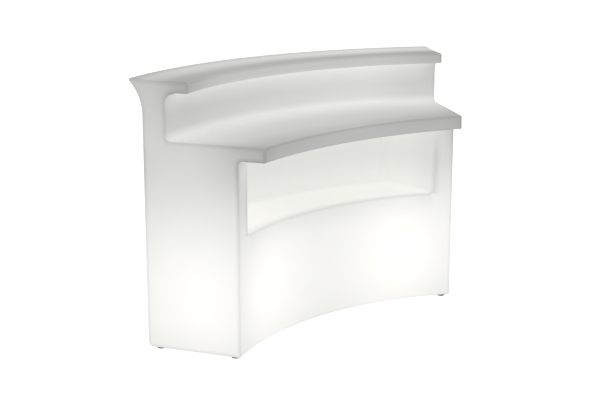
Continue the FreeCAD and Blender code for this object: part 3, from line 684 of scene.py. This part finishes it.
def lit_opal():
    """The lamp's opal globe, lit evenly and a little brighter at its crown."""
    material, tree, shader = new_material("opal_globe_finish")
    place = surface_place(tree)
    height = coordinates(tree, place)[2]
    low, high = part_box("bulb_globe_left")
    glow = height.ramp(low.z, high.z, globe_low_glow, globe_crown_glow)
    glow = glow + noise(tree, place, globe_cloud_scale) * globe_cloud_depth
    shader.inputs["Base Color"].default_value = (*globe_white, 1)
    shader.inputs["Roughness"].default_value = globe_roughness
    shader.inputs["Emission Color"].default_value = (*globe_light, 1)
    tree.links.new(glow.socket, shader.inputs["Emission Strength"])
    material.cycles.emission_sampling = "NONE"
    return material


def plastics():
    """The finishes of the plastic and rubber parts but the shell, by slot."""
    return {
        "foot_black": plastic(
            "foot_black_finish",
            dark=(0.012, 0.012, 0.013),
            light=(0.035, 0.035, 0.037),
            roughness=0.6,
            grain_scale=900.0,
            grain_height=0.0002,
        ),
        "gasket_rubber": plastic(
            "gasket_finish",
            dark=(0.014, 0.014, 0.014),
            light=(0.03, 0.03, 0.03),
            roughness=0.85,
            grain_scale=1500.0,
            grain_height=0.0001,
        ),
        "cover_white": plastic(
            "cover_white_finish",
            dark=(0.66, 0.66, 0.64),
            light=(0.76, 0.76, 0.74),
            roughness=0.5,
            grain_scale=260.0,
            grain_height=0.0003,
        ),
        "holder_black": plastic(
            "holder_black_finish",
            dark=(0.008, 0.007, 0.007),
            light=(0.02, 0.017, 0.016),
            roughness=0.25,
            grain_scale=300.0,
            grain_height=0.0001,
        ),
        "collar_white": plastic(
            "collar_white_finish",
            dark=(0.74, 0.74, 0.72),
            light=(0.82, 0.82, 0.8),
            roughness=0.35,
            grain_scale=400.0,
            grain_height=0.0001,
        ),
        "gland_grey": plastic(
            "gland_grey_finish",
            dark=(0.3, 0.31, 0.32),
            light=(0.38, 0.39, 0.4),
            roughness=0.5,
            grain_scale=700.0,
            grain_height=0.0001,
        ),
        "box_grey": plastic(
            "box_grey_finish",
            dark=(0.42, 0.43, 0.43),
            light=(0.5, 0.51, 0.51),
            roughness=0.45,
            grain_scale=500.0,
            grain_height=0.0001,
        ),
        "block_cream": plastic(
            "block_cream_finish",
            dark=(0.62, 0.58, 0.46),
            light=(0.72, 0.68, 0.56),
            roughness=0.4,
            grain_scale=500.0,
            grain_height=0.0001,
        ),
        "clip_white": plastic(
            "clip_white_finish",
            dark=(0.66, 0.66, 0.65),
            light=(0.76, 0.76, 0.75),
            roughness=0.45,
            grain_scale=600.0,
            grain_height=0.0001,
        ),
        "cable_white": plastic(
            "cable_white_finish",
            dark=(0.62, 0.62, 0.6),
            light=(0.72, 0.72, 0.7),
            roughness=0.4,
            grain_scale=800.0,
            grain_height=0.00008,
        ),
    }


def metals():
    """The finishes of the metal parts, by slot."""
    return {
        "brass": turned_metal(
            "brass_finish",
            dark=(0.5, 0.34, 0.13),
            light=(0.72, 0.52, 0.24),
            roughness=0.28,
        ),
        "zinc_steel": turned_metal(
            "zinc_steel_finish",
            dark=(0.42, 0.43, 0.45),
            light=(0.56, 0.57, 0.58),
            roughness=0.38,
        ),
        "cap_metal": turned_metal(
            "cap_metal_finish",
            dark=(0.6, 0.6, 0.6),
            light=(0.72, 0.72, 0.71),
            roughness=0.3,
        ),
        "bracket_steel": spangled_steel(
            "bracket_steel_finish",
            dark=(0.36, 0.38, 0.4),
            light=(0.5, 0.52, 0.53),
            roughness=0.3,
        ),
    }


def finishes():
    """The material of each of the record's slots."""
    return {
        **plastics(),
        **metals(),
        "shell_white": shell_material(),
        "ceramic_white": fired_ceramic(),
        "opal_globe": lit_opal(),
    }


def seen_directly(tree):
    """1 for rays from the camera and for those that metal and glass show, 0 for all others."""
    path = tree.nodes.new("ShaderNodeLightPath")
    seen = Num(tree, path.outputs["Is Camera Ray"])
    seen = seen.most(Num(tree, path.outputs["Is Glossy Ray"]))
    return seen.most(Num(tree, path.outputs["Is Transmission Ray"]))


def white_world():
    world = bpy.data.worlds.new("studio")
    bpy.context.scene.world = world
    world.use_nodes = True
    tree = world.node_tree
    background = tree.nodes["Background"]
    background.inputs["Color"].default_value = (*white, 1)
    strength = seen_directly(tree).ramp(0.0, 1.0, world_light, 1.0)
    tree.links.new(strength.socket, background.inputs["Strength"])


def white_floor():
    bpy.ops.mesh.primitive_plane_add(size=floor_size)
    floor = bpy.context.object
    floor.name = "floor"
    material, tree, shader = new_material("floor_white")
    shader.inputs["Base Color"].default_value = (floor_grey, floor_grey, floor_grey, 1)
    shader.inputs["Roughness"].default_value = floor_roughness
    shader.inputs["Emission Color"].default_value = (*white, 1)
    glow = seen_directly(tree) * seen_floor_light
    tree.links.new(glow.socket, shader.inputs["Emission Strength"])
    floor.data.materials.append(material)


def soft_light(name, place, target, width, watts):
    data = bpy.data.lights.new(name, "AREA")
    data.shape = "SQUARE"
    data.size = width
    data.energy = watts
    light = bpy.data.objects.new(name, data)
    light.location = place
    light.rotation_mode = "QUATERNION"
    light.rotation_quaternion = (Vector(target) - Vector(place)).to_track_quat("-Z", "Y")
    bpy.context.scene.collection.objects.link(light)


make_camera()
white_world()
white_floor()
soft_light("key", key_place, key_target, key_width, key_watts)

slot_finishes = finishes()
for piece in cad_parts.values():
    slot = piece.material_slots[0]
    slot.material = slot_finishes[slot.material.name]

bpy.context.scene.view_settings.view_transform = "Standard"
